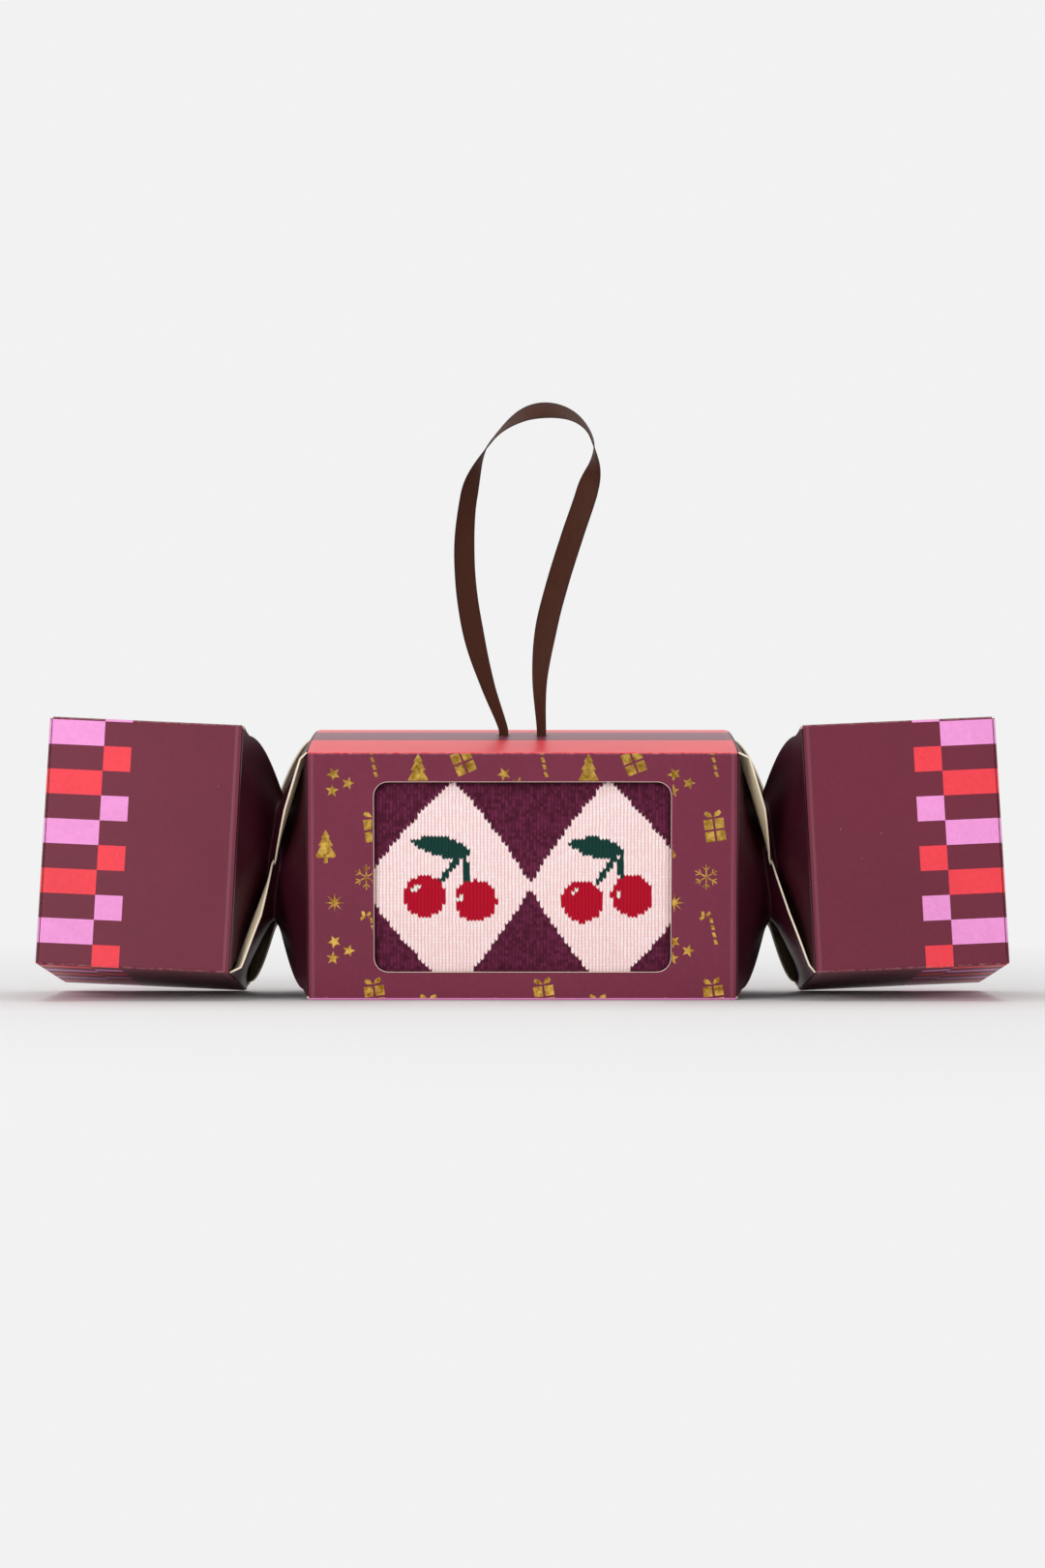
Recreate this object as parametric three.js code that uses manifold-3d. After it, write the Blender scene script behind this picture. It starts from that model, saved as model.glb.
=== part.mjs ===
// Christmas cracker gift box: a windowed square middle box that holds a pair of folded socks, a slit and
// twisted neck on each side, a square end box with a tuck lid past each neck, and a ribbon loop on top.
// Millimetres. X runs along the cracker, the window faces -Y, Z is up, and the origin is on the floor under
// the middle.
import * as THREE from 'three';
import { mergeVertices } from 'three/addons/utils/BufferGeometryUtils.js';
import Module from 'manifold-3d';

const wasm = await Module();
wasm.setup();

// Driving dimensions of the board
const boxSide = 70; // outside, across the panels
const centreLength = 120; // between the creases of the middle box
const endLength = 54; // from the neck crease to the outside of the lid
const neckGap = 20.6; // between the creases at the cracker's axis
const board = 0.5; // coated paperboard
const creaseRadius = 0.9; // outside of a folded corner
const topCrown = 1.4; // how far the top panel of the middle box bows up
const glueFlapWidth = 14;
const glueFlapInset = 4; // from the ends of its box

// How the cracker stands: each box leans about X on one bottom edge, and the ends tip up
const centreLean = 6.5;
const endLean = -6.5;
const endLift = 2.6;

// Window in the front panel
const windowWidth = 83.2;
const windowHeight = 53.6;
const windowRadius = 4;
const windowDrop = 0.2; // below the middle of the panel

// Neck strips
const stripReachAlong = 31; // tangent of the strip's curve at its creases, along X
const stripReachInward = 40; // the same towards the axis, in the middle of the strip
const stripEdgeReachInward = 144; // and at its slit edges
const stripEdgeSplay = 22.4; // degrees that the same leans away from the strip's middle at its slit edges
const stripTurn = 7.2; // how far the two slit edges are drawn apart along X
const stripTurnSpread = 0.91; // below 1, the turn starts sooner at the creases
const stripTrim = 0.035; // share of the width that is slit away on each side
const stripSteps = 16;
const stripLanes = 8;

// Tuck lid, its tongue and the dust flaps
const tongueDepth = 12;
const tongueCornerRadius = 6;
const tongueClearance = 0.4; // to the front panel
const dustFlapReach = 30;
const dustFlapTaper = 6; // lost on each side at the free edge
const dustFlapSideGap = 1.2; // to the side panels
const lidSideGap = 0.4; // lid's edge inside the outline of the box

// Folded socks and the card between them
const sockWidth = 94;
const sockHeight = 63;
const sockDepth = 32.6;
const sockEdgeRadius = 7;
const sockFolds = 5;
const sockFoldDip = 1.6;
const sockSquareness = 7;
const cardWidth = 90;
const cardHeight = 62;
const cardThickness = 0.8;
const cardCornerRadius = 5;

// Ribbon, its holes and its knot
const ribbonWidth = 6.4;
const ribbonThickness = 0.4;
const ribbonGather = 0.42; // share of its width that is left where it is drawn into a hole
const ribbonHolePitch = 10.9;
const ribbonHoleRadius = 2.2;
const ribbonLegRadius = 1.5; // gathered ribbon inside the hole
const ribbonSteps = 72;
const ribbonHeight = 93; // from the panel to the middle line at the top
const ribbonReach = 20.7; // how far the loop swings out sideways
const ribbonRise = 1.2; // upright length of the ribbon above its holes
const ribbonLean = 8; // how far back the top of the loop stands
const knotRadius = 4.2;
const knotFlatness = 0.5; // of the knot, pressed between panel and socks
const knotDrop = 2.5; // knot's middle under the inside of the top panel's edge

// Running gap between neighbours
const gap = 0.3;

const halfSide = boxSide / 2;
const innerHalf = halfSide - board;
const sheetHalf = halfSide - board / 2; // middle of the board
const radians = THREE.MathUtils.degToRad;
const xAxis = new THREE.Vector3(1, 0, 0);
const yAxis = new THREE.Vector3(0, 1, 0);
const zAxis = new THREE.Vector3(0, 0, 1);

// Height of a box's axis when it stands on one rounded edge
function standingHeight(lean) {
  const turn = Math.abs(radians(lean));
  return (halfSide - creaseRadius) * (Math.cos(turn) + Math.sin(turn)) + creaseRadius;
}

const boardFinish = { roughness: 0.32, metalness: 0 };
const plumBoard = new THREE.MeshStandardMaterial({ name: 'plum_board', color: 0x74384a, ...boardFinish });
const plainBoard = new THREE.MeshStandardMaterial({ name: 'plain_board', color: 0xe9dcc6, roughness: 0.8 });
const knit = new THREE.MeshStandardMaterial({ name: 'sock_knit', color: 0x5a2a42, roughness: 0.95 });
const card = new THREE.MeshStandardMaterial({ name: 'grey_card', color: 0xcfc8bc, roughness: 0.9 });
const satin = new THREE.MeshStandardMaterial({ name: 'brown_satin', color: 0x4a2a20, roughness: 0.45 });

// Solids in and out of the boolean library
function toManifold(geometry) {
  const bare = geometry.clone();
  for (const name of Object.keys(bare.attributes)) {
    if (name !== 'position') bare.deleteAttribute(name);
  }
  const merged = mergeVertices(bare, 1e-4);
  return new wasm.Manifold(new wasm.Mesh({
    numProp: 3,
    vertProperties: new Float32Array(merged.attributes.position.array),
    triVerts: new Uint32Array(merged.index.array),
  }));
}

function fromManifold(solid) {
  const mesh = solid.getMesh();
  const geometry = new THREE.BufferGeometry();
  geometry.setAttribute('position', new THREE.BufferAttribute(new Float32Array(mesh.vertProperties), 3));
  geometry.setIndex(new THREE.BufferAttribute(new Uint32Array(mesh.triVerts), 1));
  return geometry;
}

// An outline in (y, z) drawn out along X from startX
function drawnAlongX(shape, startX, length, curveSegments = 4) {
  const geometry = new THREE.ExtrudeGeometry(shape, { depth: length, bevelEnabled: false, curveSegments });
  geometry.applyMatrix4(new THREE.Matrix4().makeBasis(yAxis, zAxis, xAxis));
  return geometry.translate(startX, 0, 0);
}

// An outline in (x, z) drawn out along -Y from startY
function drawnAlongY(shape, startY, length, curveSegments = 4) {
  const geometry = new THREE.ExtrudeGeometry(shape, { depth: length, bevelEnabled: false, curveSegments });
  geometry.applyMatrix4(new THREE.Matrix4().makeBasis(xAxis, zAxis, yAxis.clone().negate()));
  return geometry.translate(0, startY, 0);
}

function plate(startX, startY, startZ, sizeX, sizeY, sizeZ) {
  const geometry = new THREE.BoxGeometry(sizeX, sizeY, sizeZ);
  return geometry.translate(startX + sizeX / 2, startY + sizeY / 2, startZ + sizeZ / 2);
}

function roundedRectangle(width, height, radius) {
  const x = width / 2;
  const y = height / 2;
  const outline = new THREE.Shape();
  outline.absarc(x - radius, -y + radius, radius, -Math.PI / 2, 0);
  outline.absarc(x - radius, y - radius, radius, 0, Math.PI / 2);
  outline.absarc(-x + radius, y - radius, radius, Math.PI / 2, Math.PI);
  outline.absarc(-x + radius, -y + radius, radius, Math.PI, Math.PI * 1.5);
  outline.closePath();
  return outline;
}

// Square section of a box with rounded creases and an optional crown on its top panel, as a Shape or a Path
function boxSection(half, radius, crown, Outline) {
  const outline = new Outline();
  const flat = half - radius;
  outline.absarc(flat, -flat, radius, -Math.PI / 2, 0);
  outline.absarc(flat, flat, radius, 0, Math.PI / 2);
  if (crown > 0) {
    outline.quadraticCurveTo(0, half + 2 * crown, -flat, half);
  }
  outline.absarc(-flat, flat, radius, Math.PI / 2, Math.PI);
  outline.absarc(-flat, -flat, radius, Math.PI, Math.PI * 1.5);
  outline.closePath();
  return outline;
}

// Four panels in one folded sleeve, closed by a glue flap inside the back panel
function boardSleeve(startX, length, crown) {
  const section = boxSection(halfSide, creaseRadius, crown, THREE.Shape);
  section.holes.push(boxSection(innerHalf, creaseRadius - board, crown, THREE.Path));
  const sleeve = toManifold(drawnAlongX(section, startX, length, 8));
  const glueFlap = plate(
    startX + glueFlapInset,
    innerHalf - board,
    -innerHalf,
    length - 2 * glueFlapInset,
    board * 1.5,
    glueFlapWidth,
  );
  return sleeve.add(toManifold(glueFlap));
}

function middleSleeve() {
  const opening = roundedRectangle(windowWidth, windowHeight, windowRadius);
  const windowCutter = drawnAlongY(opening, -innerHalf + 2, board + 4).translate(0, 0, -windowDrop);
  let sleeve = boardSleeve(-centreLength / 2, centreLength, topCrown).subtract(toManifold(windowCutter));
  for (const side of [-1, 1]) {
    const punch = new THREE.CylinderGeometry(ribbonHoleRadius, ribbonHoleRadius, board + 4, 16);
    punch.rotateX(Math.PI / 2);
    punch.translate(side * ribbonHolePitch / 2, 0, halfSide + topCrown - board / 2);
    sleeve = sleeve.subtract(toManifold(punch));
  }
  return fromManifold(sleeve);
}

// A closed sheet: a grid of points given by place(p, q), with half the thickness laid on each side
function thickSheet(place, rows, lanes, thickness) {
  const positions = [];
  const indices = [];
  const step = 1e-3;
  const at = (row, lane, side) => (side * (rows + 1) + row) * (lanes + 1) + lane;
  for (const side of [0, 1]) {
    for (let row = 0; row <= rows; row += 1) {
      for (let lane = 0; lane <= lanes; lane += 1) {
        const p = row / rows;
        const q = lane / lanes;
        const along = place(Math.min(p + step, 1), q).sub(place(Math.max(p - step, 0), q));
        const across = place(p, Math.min(q + step, 1)).sub(place(p, Math.max(q - step, 0)));
        const normal = along.cross(across).normalize();
        const point = place(p, q).addScaledVector(normal, (side - 0.5) * thickness);
        positions.push(point.x, point.y, point.z);
      }
    }
  }
  const quad = (a, b, c, d) => indices.push(a, b, c, a, c, d);
  for (let row = 0; row < rows; row += 1) {
    for (let lane = 0; lane < lanes; lane += 1) {
      quad(at(row, lane, 1), at(row + 1, lane, 1), at(row + 1, lane + 1, 1), at(row, lane + 1, 1));
      quad(at(row, lane, 0), at(row, lane + 1, 0), at(row + 1, lane + 1, 0), at(row + 1, lane, 0));
    }
  }
  for (let row = 0; row < rows; row += 1) {
    quad(at(row, 0, 0), at(row + 1, 0, 0), at(row + 1, 0, 1), at(row, 0, 1));
    quad(at(row, lanes, 1), at(row + 1, lanes, 1), at(row + 1, lanes, 0), at(row, lanes, 0));
  }
  for (let lane = 0; lane < lanes; lane += 1) {
    quad(at(0, lane, 1), at(0, lane + 1, 1), at(0, lane + 1, 0), at(0, lane, 0));
    quad(at(rows, lane, 0), at(rows, lane + 1, 0), at(rows, lane + 1, 1), at(rows, lane, 1));
  }
  const geometry = new THREE.BufferGeometry();
  geometry.setAttribute('position', new THREE.Float32BufferAttribute(positions, 3));
  geometry.setIndex(indices);
  return geometry;
}

// The boxes' frames: the middle box, and an end box whose local +x runs outwards from its neck crease
const centreFrame = new THREE.Group();
centreFrame.position.set(0, 0, standingHeight(centreLean));
centreFrame.rotation.x = radians(centreLean);

function endFrame(side) {
  const frame = new THREE.Group();
  const height = standingHeight(endLean) * Math.cos(radians(endLift));
  frame.position.set(side * (centreLength / 2 + neckGap), 0, height);
  frame.rotation.set(radians(endLean), -side * radians(endLift), 0, 'YXZ');
  return frame;
}

// Panels in the order front, top, back, bottom, each from one corner (y, z) to the next
const panelNames = ['front', 'top', 'back', 'bottom'];
const panelCorners = [[-1, -1], [-1, 1], [1, 1], [1, -1]];
const panelOutward = [[-1, 0], [0, 1], [1, 0], [0, -1]];

// A strip leaves one panel of the end box, is pinched through the waist and reaches the next panel of the
// middle box, a quarter turn on
function neckStrip(side, panel) {
  const end = endFrame(side);
  end.updateMatrixWorld(true);
  centreFrame.updateMatrixWorld(true);
  const setBack = gap + board / 2;
  const crease = (frame, x, index, share) => {
    const from = panelCorners[index % 4];
    const to = panelCorners[(index + 1) % 4];
    const bow = frame === centreFrame && panelNames[index % 4] === 'top' ? 4 * topCrown * share * (1 - share) : 0;
    const y = THREE.MathUtils.lerp(from[0], to[0], share) * sheetHalf;
    const z = THREE.MathUtils.lerp(from[1], to[1], share) * sheetHalf + bow;
    return new THREE.Vector3(x, y, z).applyMatrix4(frame.matrixWorld);
  };
  const tangent = (frame, index, outward, splay) => {
    const [y, z] = panelOutward[index % 4];
    const [nextY, nextZ] = panelOutward[(index + 1) % 4];
    const straight = Math.cos(splay) * outward;
    const aside = Math.sin(splay) * outward;
    const reach = new THREE.Vector3(-side * stripReachAlong, y * straight + nextY * aside, z * straight + nextZ * aside);
    return reach.applyQuaternion(frame.quaternion);
  };
  const place = (p, q) => {
    const waist = 4 * p * (1 - p);
    const share = stripTrim + (1 - 2 * stripTrim) * q;
    const splay = THREE.MathUtils.degToRad(stripEdgeSplay) * (2 * share - 1);
    const inward = THREE.MathUtils.lerp(stripReachInward, stripEdgeReachInward, (2 * share - 1) ** 2);
    const start = crease(end, -side * setBack, panel, share);
    const finish = crease(centreFrame, side * (centreLength / 2 + setBack), panel + 1, share);
    const point = start.multiplyScalar(2 * p ** 3 - 3 * p ** 2 + 1);
    point.addScaledVector(finish, 3 * p ** 2 - 2 * p ** 3);
    point.addScaledVector(tangent(end, panel, -inward, splay), p * (1 - p) ** 2);
    point.addScaledVector(tangent(centreFrame, panel + 1, inward, splay), p ** 2 * (p - 1));
    point.x += -side * stripTurn * (share - 0.5) * waist ** stripTurnSpread;
    return point;
  };
  const mirrored = (p, q) => place(p, 1 - q);
  return thickSheet(side < 0 ? place : mirrored, stripSteps, stripLanes, board);
}

// Parts of an end box, in the frame whose x runs along +X for both sides
const lidInside = endLength - board;
const wallEnd = lidInside - gap;
const tongueFace = innerHalf - tongueClearance;

function endSleeve(side) {
  return fromManifold(boardSleeve(side > 0 ? 0 : -wallEnd, wallEnd, 0));
}

// The lid folds on the back panel's outer edge and lies across the end
function lid(side) {
  const across = boxSide - 2 * lidSideGap;
  const outline = roundedRectangle(across, across, creaseRadius);
  return drawnAlongX(outline, side > 0 ? lidInside : -endLength, board, 4);
}

// The tongue tucks in behind the front panel
function tongue(side) {
  const across = 2 * (innerHalf - dustFlapSideGap);
  const outline = new THREE.Shape();
  outline.moveTo(0, -across / 2);
  outline.lineTo(0, across / 2);
  outline.lineTo(-(tongueDepth - tongueCornerRadius), across / 2);
  outline.absarc(
    -(tongueDepth - tongueCornerRadius), across / 2 - tongueCornerRadius, tongueCornerRadius,
    Math.PI / 2, Math.PI,
  );
  outline.absarc(
    -(tongueDepth - tongueCornerRadius), -across / 2 + tongueCornerRadius, tongueCornerRadius,
    Math.PI, Math.PI * 1.5,
  );
  outline.closePath();
  const geometry = drawnAlongY(outline, -tongueFace + board, board, 6);
  if (side < 0) geometry.rotateZ(Math.PI).translate(0, -2 * tongueFace + board, 0);
  return geometry.translate(side * wallEnd, 0, 0);
}

// A dust flap folds on the top or bottom panel's outer edge and lies inside the lid
function dustFlap(side, up) {
  const root = innerHalf - dustFlapSideGap;
  const front = -tongueFace + board + dustFlapSideGap;
  const edge = up * (innerHalf - gap);
  const free = edge - up * dustFlapReach;
  const outline = new THREE.Shape();
  outline.moveTo(front, edge);
  outline.lineTo(root, edge);
  outline.lineTo(root - dustFlapTaper, free);
  outline.lineTo(front + dustFlapTaper, free);
  outline.closePath();
  return drawnAlongX(outline, side > 0 ? wallEnd - board : -wallEnd, board);
}

// A sock folded into a flat pack: a rounded block with the dips between its folds along top and bottom
function foldedSock() {
  const stations = 14;
  const around = 44;
  const positions = [];
  const indices = [];
  const power = 2 / sockSquareness;
  const bend = (value) => Math.sign(value) * Math.abs(value) ** power;
  for (let station = 0; station <= stations; station += 1) {
    const t = -Math.cos(Math.PI * station / stations);
    const x = t * sockWidth / 2;
    const fromEnd = Math.min(sockWidth / 2 - Math.abs(x), sockEdgeRadius);
    const inset = sockEdgeRadius - Math.sqrt(fromEnd * (2 * sockEdgeRadius - fromEnd));
    for (let step = 0; step < around; step += 1) {
      const angle = 2 * Math.PI * step / around;
      const y = bend(Math.cos(angle)) * (sockDepth / 2 - inset * 0.7);
      const layer = (y / sockDepth + 0.5) * sockFolds;
      const dip = sockFoldDip * Math.cos(Math.PI * layer) ** 2 * Math.abs(Math.sin(angle));
      const z = bend(Math.sin(angle)) * (sockHeight / 2 - inset - dip);
      positions.push(x, y, z);
    }
  }
  const at = (station, step) => station * around + step % around;
  for (let station = 0; station < stations; station += 1) {
    for (let step = 0; step < around; step += 1) {
      const a = at(station, step);
      const b = at(station, step + 1);
      const c = at(station + 1, step + 1);
      const d = at(station + 1, step);
      indices.push(a, b, c, a, c, d);
    }
  }
  for (let step = 1; step < around - 1; step += 1) {
    indices.push(at(0, 0), at(0, step + 1), at(0, step));
    indices.push(at(stations, 0), at(stations, step), at(stations, step + 1));
  }
  const geometry = new THREE.BufferGeometry();
  geometry.setAttribute('position', new THREE.Float32BufferAttribute(positions, 3));
  geometry.setIndex(indices);
  return geometry;
}

// Middle line of the loop between its two holes, from left to right: how far it swings out sideways, as a
// share of ribbonReach, and how high it is, as a share of ribbonHeight
const ribbonRoute = [
  [-0.483, 0.151], [-0.667, 0.296], [-0.792, 0.473], [-0.797, 0.645], [-0.686, 0.79], [-0.42, 0.909],
  [0.019, 0.986], [0.386, 1], [0.725, 0.978], [0.947, 0.925], [1, 0.844], [0.894, 0.747], [0.691, 0.613],
  [0.493, 0.473], [0.333, 0.333], [0.242, 0.172],
];
// Turn of the ribbon's face about its middle line, at even shares of its length: 0 shows its full width
const ribbonFaceTurns = [0, 26, 22, 28, 60, 118, 135, 92, 15, 8, 14, 20, 0];
const ribbonBase = halfSide + topCrown + gap;

function ribbonLoop() {
  const foot = ribbonHolePitch / 2;
  const points = [
    new THREE.Vector3(-foot, 0, 0),
    new THREE.Vector3(-foot, 0, ribbonRise),
    ...ribbonRoute.map(([out, up]) => new THREE.Vector3(out * ribbonReach, ribbonLean * up ** 2, up * ribbonHeight)),
    new THREE.Vector3(foot, 0, ribbonRise),
    new THREE.Vector3(foot, 0, 0),
  ];
  const curve = new THREE.CatmullRomCurve3(points, false, 'centripetal');
  curve.arcLengthDivisions = 600;
  const turnAt = (share) => {
    const place = share * (ribbonFaceTurns.length - 1);
    const low = Math.min(Math.floor(place), ribbonFaceTurns.length - 2);
    const blend = THREE.MathUtils.smoothstep(place - low, 0, 1);
    return radians(THREE.MathUtils.lerp(ribbonFaceTurns[low], ribbonFaceTurns[low + 1], blend));
  };
  const place = (p, q) => {
    const tangent = curve.getTangentAt(p);
    const outward = new THREE.Vector3(-tangent.z, 0, tangent.x).normalize();
    const forward = new THREE.Vector3().crossVectors(tangent, outward).normalize();
    const turn = turnAt(p);
    const gathered = THREE.MathUtils.smoothstep(Math.min(p, 1 - p), 0, 0.16);
    const width = ribbonWidth * THREE.MathUtils.lerp(ribbonGather, 1, gathered);
    const point = curve.getPointAt(p);
    point.addScaledVector(outward, (q - 0.5) * width * Math.cos(turn));
    return point.addScaledVector(forward, (q - 0.5) * width * Math.sin(turn));
  };
  const geometry = thickSheet(place, ribbonSteps, 2, ribbonThickness);
  return geometry.translate(0, 0, ribbonBase);
}

// The ribbon's two ends, gathered through the holes and knotted together under the panel
function ribbonKnot() {
  const legTop = halfSide + topCrown;
  const knotHeight = innerHalf - knotDrop;
  const knot = new THREE.SphereGeometry(knotRadius, 16, 10);
  knot.scale(1.35, 0.9, knotFlatness).translate(0, 0, knotHeight);
  let solid = toManifold(knot);
  for (const side of [-1, 1]) {
    const route = new THREE.CatmullRomCurve3([
      new THREE.Vector3(side * knotRadius * 0.5, 0, knotHeight),
      new THREE.Vector3(side * ribbonHolePitch * 0.44, 0, knotHeight + knotRadius * 0.3),
      new THREE.Vector3(side * ribbonHolePitch / 2, 0, legTop - 3 * board),
      new THREE.Vector3(side * ribbonHolePitch / 2, 0, legTop),
    ]);
    const section = new THREE.Shape().absarc(0, 0, ribbonLegRadius, 0, 2 * Math.PI);
    const leg = new THREE.ExtrudeGeometry(section, { steps: 12, extrudePath: route, curveSegments: 5 });
    solid = solid.add(toManifold(leg));
  }
  return fromManifold(solid);
}

// Assembly
const cracker = new THREE.Group();

function addPiece(parent, name, geometry, material) {
  const mesh = new THREE.Mesh(geometry, material);
  mesh.name = name;
  parent.add(mesh);
  return mesh;
}

cracker.add(centreFrame);
addPiece(centreFrame, 'centre_sleeve', middleSleeve(), plumBoard);
const sockMiddle = cardThickness / 2 + gap + sockDepth / 2;
const cardOutline = roundedRectangle(cardWidth, cardHeight, cardCornerRadius);
const stiffener = drawnAlongY(cardOutline, cardThickness / 2, cardThickness);
const seat = -innerHalf + gap;
addPiece(centreFrame, 'sock_front', foldedSock(), knit).position.set(0, -sockMiddle, seat + sockHeight / 2);
addPiece(centreFrame, 'sock_back', foldedSock(), knit).position.set(0, sockMiddle, seat + sockHeight / 2);
addPiece(centreFrame, 'sock_card', stiffener, card).position.z = seat + cardHeight / 2;
addPiece(centreFrame, 'ribbon_loop', ribbonLoop(), satin);
addPiece(centreFrame, 'ribbon_knot', ribbonKnot(), satin);

for (const [side, sideName] of [[-1, 'left'], [1, 'right']]) {
  panelNames.forEach((panelName, panel) => {
    addPiece(cracker, `${sideName}_neck_strip_${panelName}`, neckStrip(side, panel), plumBoard);
  });
  const frame = endFrame(side);
  cracker.add(frame);
  addPiece(frame, `${sideName}_end_sleeve`, endSleeve(side), plumBoard);
  addPiece(frame, `${sideName}_lid`, lid(side), plumBoard);
  addPiece(frame, `${sideName}_tuck_tongue`, tongue(side), plainBoard);
  addPiece(frame, `${sideName}_dust_flap_top`, dustFlap(side, 1), plainBoard);
  addPiece(frame, `${sideName}_dust_flap_bottom`, dustFlap(side, -1), plainBoard);
}

export default cracker;
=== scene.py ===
# Christmas cracker gift box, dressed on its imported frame. Metres: X runs along the cracker, the window
# faces -Y and Z is up. Sizes named in millimetres are turned to metres where a mesh is placed.
import math
import bpy
import bmesh
from mathutils import Euler, Matrix, Vector, noise


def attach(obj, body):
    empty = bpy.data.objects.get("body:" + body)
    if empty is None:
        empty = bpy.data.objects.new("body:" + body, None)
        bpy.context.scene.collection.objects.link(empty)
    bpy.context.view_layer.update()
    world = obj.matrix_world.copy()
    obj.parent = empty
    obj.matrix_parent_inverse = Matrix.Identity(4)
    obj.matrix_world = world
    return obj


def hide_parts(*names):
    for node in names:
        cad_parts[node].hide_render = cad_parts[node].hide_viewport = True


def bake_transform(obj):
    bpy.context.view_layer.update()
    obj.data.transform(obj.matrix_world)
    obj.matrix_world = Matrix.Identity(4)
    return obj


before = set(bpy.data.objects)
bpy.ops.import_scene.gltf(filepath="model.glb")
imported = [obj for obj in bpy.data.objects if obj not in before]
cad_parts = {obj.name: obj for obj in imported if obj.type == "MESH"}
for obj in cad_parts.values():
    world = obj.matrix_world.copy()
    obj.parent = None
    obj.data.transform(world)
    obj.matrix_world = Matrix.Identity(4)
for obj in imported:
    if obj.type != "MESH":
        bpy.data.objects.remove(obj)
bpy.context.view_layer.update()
scene = bpy.context.scene
mm = 0.001

# The camera stands level with the box, at the distance from which the top panel shows as a narrow band, and
# looks up by half a degree so that the ribbon's loop is in view.
camera_data = bpy.data.cameras.new("camera")
camera_data.lens = 88.9
camera = bpy.data.objects.new("camera", camera_data)
camera.location = (0, -1.119, 0.050)
camera.rotation_euler = (math.radians(90.56), 0, 0)
scene.collection.objects.link(camera)
scene.camera = camera
scene.view_settings.view_transform = "Standard"


# The studio: a white paper floor that runs out of view, a pale surround, and three soft boxes. The key hangs
# in front on the left, the fill is on the right, and the third lights the top panels from above.
def linear(colour):
    """An sRGB hex value as the linear colour that a socket takes."""
    channels = [int(colour[i:i + 2], 16) / 255 for i in (1, 3, 5)]
    return [c / 12.92 if c <= 0.04045 else ((c + 0.055) / 1.055) ** 2.4 for c in channels] + [1.0]


def add(tree, kind, sockets, **settings):
    """Adds a node with its settings, and sets or links each of its sockets."""
    node = tree.nodes.new("ShaderNode" + kind)
    for name, value in settings.items():
        setattr(node, name, value)
    for socket, value in sockets.items():
        if isinstance(value, bpy.types.Node):
            value = value.outputs[0]
        if isinstance(value, bpy.types.NodeSocket):
            tree.links.new(value, node.inputs[socket])
        else:
            node.inputs[socket].default_value = value
    return node


def calc(tree, operation, *values):
    """Adds a math node over one to three values."""
    return add(tree, "Math", dict(enumerate(values)), operation=operation)


def mix(tree, share, first, second):
    """Adds a node that mixes two colours."""
    return add(tree, "MixRGB", {"Fac": share, "Color1": first, "Color2": second})


def seen_rays(tree):
    """The light path node, and 1 for rays that show a thing directly, mirrored or through a clear one."""
    path = add(tree, "LightPath", {})
    seen = calc(tree, "MAXIMUM", path.outputs["Is Camera Ray"], path.outputs["Is Glossy Ray"])
    return path, calc(tree, "MAXIMUM", seen, path.outputs["Is Transmission Ray"])


def empty_material(name):
    """A new material with nothing in its node tree."""
    made = bpy.data.materials.new(name)
    made.use_nodes = True
    made.node_tree.nodes.clear()
    return made, made.node_tree


world = bpy.data.worlds.new("pale_surround")
scene.world = world
world.use_nodes = True
tree = world.node_tree
tree.nodes.clear()
path, seen = seen_rays(tree)
pale = add(tree, "Background", {"Color": linear("#F2F2F2"), "Strength": 1.0})
lighting = add(tree, "Background", {"Color": linear("#FFFFFF"), "Strength": 0.5})
surround = add(tree, "MixShader", {0: seen, 1: lighting, 2: pale})
add(tree, "OutputWorld", {"Surface": surround})

# White paper, matt and fibrous; past the box's shadow it turns to the even pale tone of the surround
paper, tree = empty_material("matt_paper_floor")
place = add(tree, "TexCoord", {})
away = add(tree, "VectorMath", {0: place.outputs["Object"]}, operation="LENGTH")
fade = add(tree, "MapRange", {"Value": away.outputs["Value"], "From Min": 0.14, "From Max": 0.5})
path, seen = seen_rays(tree)
fibres = add(tree, "TexNoise", {"Vector": place.outputs["Object"], "Scale": 900.0, "Detail": 2.0})
tone = mix(tree, fibres, linear("#F8F8F8"), linear("#FCFCFB"))
sheet = add(tree, "BsdfDiffuse", {"Color": tone})
even = add(tree, "Emission", {"Color": linear("#F2F2F2"), "Strength": 1.0})
far = calc(tree, "MULTIPLY", fade, seen)
paper_shader = add(tree, "MixShader", {0: far, 1: sheet, 2: even})
# Painted reflection: glossy rays see the floor turn dark grey farther out, standing in for a dark room beyond
# the lamps
painted_dark_reflection = add(tree, "Emission", {"Color": linear("#5A5A5A"), "Strength": 1.0})
beyond = add(tree, "MapRange", {"Value": away.outputs["Value"], "From Min": 0.1, "From Max": 0.36,
                                "To Max": 0.9})
beyond = calc(tree, "MULTIPLY", beyond, path.outputs["Is Glossy Ray"])
paper_shader = add(tree, "MixShader", {0: beyond, 1: paper_shader, 2: painted_dark_reflection})
add(tree, "OutputMaterial", {"Surface": paper_shader})

floor_mesh = bpy.data.meshes.new("floor")
shape = bmesh.new()
bmesh.ops.create_circle(shape, cap_ends=True, radius=3.0, segments=64)
shape.to_mesh(floor_mesh)
shape.free()
floor_mesh.materials.append(paper)
floor = bpy.data.objects.new("floor", floor_mesh)
floor.location = (0, 0, -0.0001)
scene.collection.objects.link(floor)

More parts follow.
